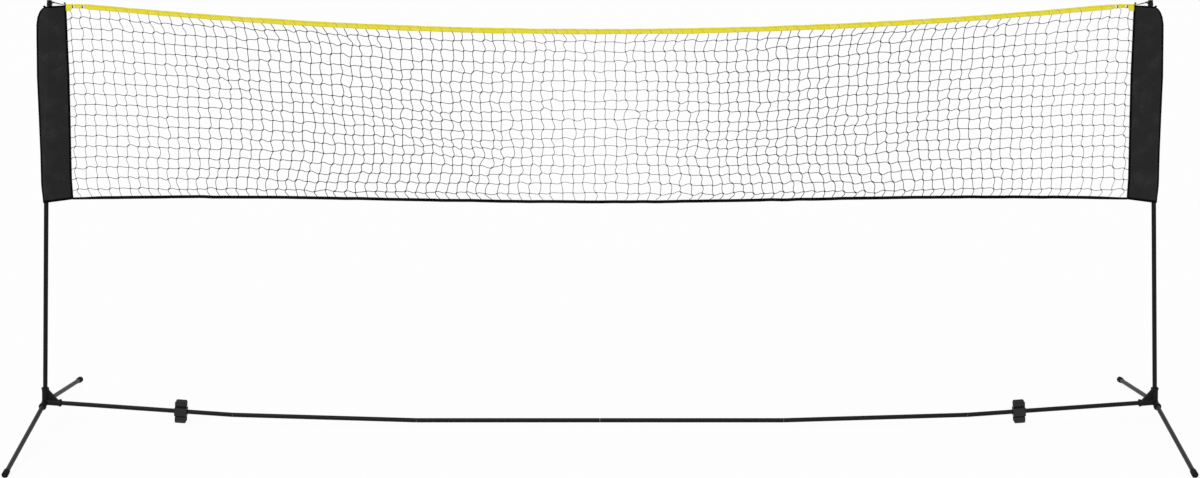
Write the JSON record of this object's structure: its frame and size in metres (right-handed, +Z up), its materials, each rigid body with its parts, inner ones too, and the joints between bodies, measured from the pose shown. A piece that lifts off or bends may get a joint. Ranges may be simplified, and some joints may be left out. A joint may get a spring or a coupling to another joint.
{
  "type": "volleyball net on poles",
  "caption": "Free-standing garden net: two leaning tube poles in cross-footed plastic hubs, joined by a floor rail with snap clips, hold a mesh net between pole sleeves and sagging tapes.",
  "frame": {"origin": "on the floor, midway between the two poles and on the rail's centre line", "axes": "+X along the rail and the net, +Y from the front feet to the rear feet, +Z up the poles"},
  "size_m": [4.0326, 1.0286, 1.5462],
  "materials": {
    "tube_steel": "satin black powder coat over steel tube",
    "leg_steel": "semi-matt dark grey powder coat",
    "hub_plastic": "black moulded plastic, fine grain",
    "clip_plastic": "charcoal moulded plastic, fine grain",
    "cap_plastic": "black moulded plastic",
    "foot_rubber": "dark grey rubber",
    "joiner_steel": "zinc-plated tube",
    "sleeve_fabric": "black coated polyester, plain weave",
    "top_webbing": "yellow woven tape, folded and sewn",
    "bottom_webbing": "black woven tape, folded and sewn",
    "net_twine": "dark grey braided twine",
    "cord": "black braided cord",
    "eyelet_metal": "nickel-plated eyelet"
  },
  "bodies": {
    "frame": {"hub_left": "hub_plastic", "hub_right": "hub_plastic", "leg_front_left": "leg_steel", "leg_rear_left": "leg_steel", "leg_front_right": "leg_steel", "leg_rear_right": "leg_steel", "foot_front_left": "foot_rubber", "foot_rear_left": "foot_rubber", "foot_front_right": "foot_rubber", "foot_rear_right": "foot_rubber", "rail_outer_left": "tube_steel", "rail_middle_left": "tube_steel", "rail_inner_left": "tube_steel", "rail_inner_right": "tube_steel", "rail_middle_right": "tube_steel", "rail_outer_right": "tube_steel", "rail_joiners": "joiner_steel", "pole_lower_left": "tube_steel", "pole_upper_left": "tube_steel", "pole_lower_right": "tube_steel", "pole_upper_right": "tube_steel", "pole_joiners": "joiner_steel", "pole_cap_left": "cap_plastic", "pole_cap_right": "cap_plastic", "sleeve_left": "sleeve_fabric", "sleeve_right": "sleeve_fabric", "top_tape": "top_webbing", "bottom_tape": "bottom_webbing", "net": "net_twine", "top_cord": "cord", "cord_loop_left": "cord", "cord_loop_right": "cord", "eyelets_left": "eyelet_metal", "eyelets_right": "eyelet_metal"},
    "clip_left": {"rail_clip_left": "clip_plastic"},
    "clip_right": {"rail_clip_right": "clip_plastic"}
  },
  "joints": [
    {"name": "clip_slide_left", "type": "slide", "parent": "frame", "child": "clip_left", "axis": [-0.9973, 0, 0.0732], "range_m": [0, 0.4]},
    {"name": "clip_slide_right", "type": "slide", "parent": "frame", "child": "clip_right", "axis": [0.9973, 0, 0.0732], "range_m": [0, 0.4]}
  ]
}
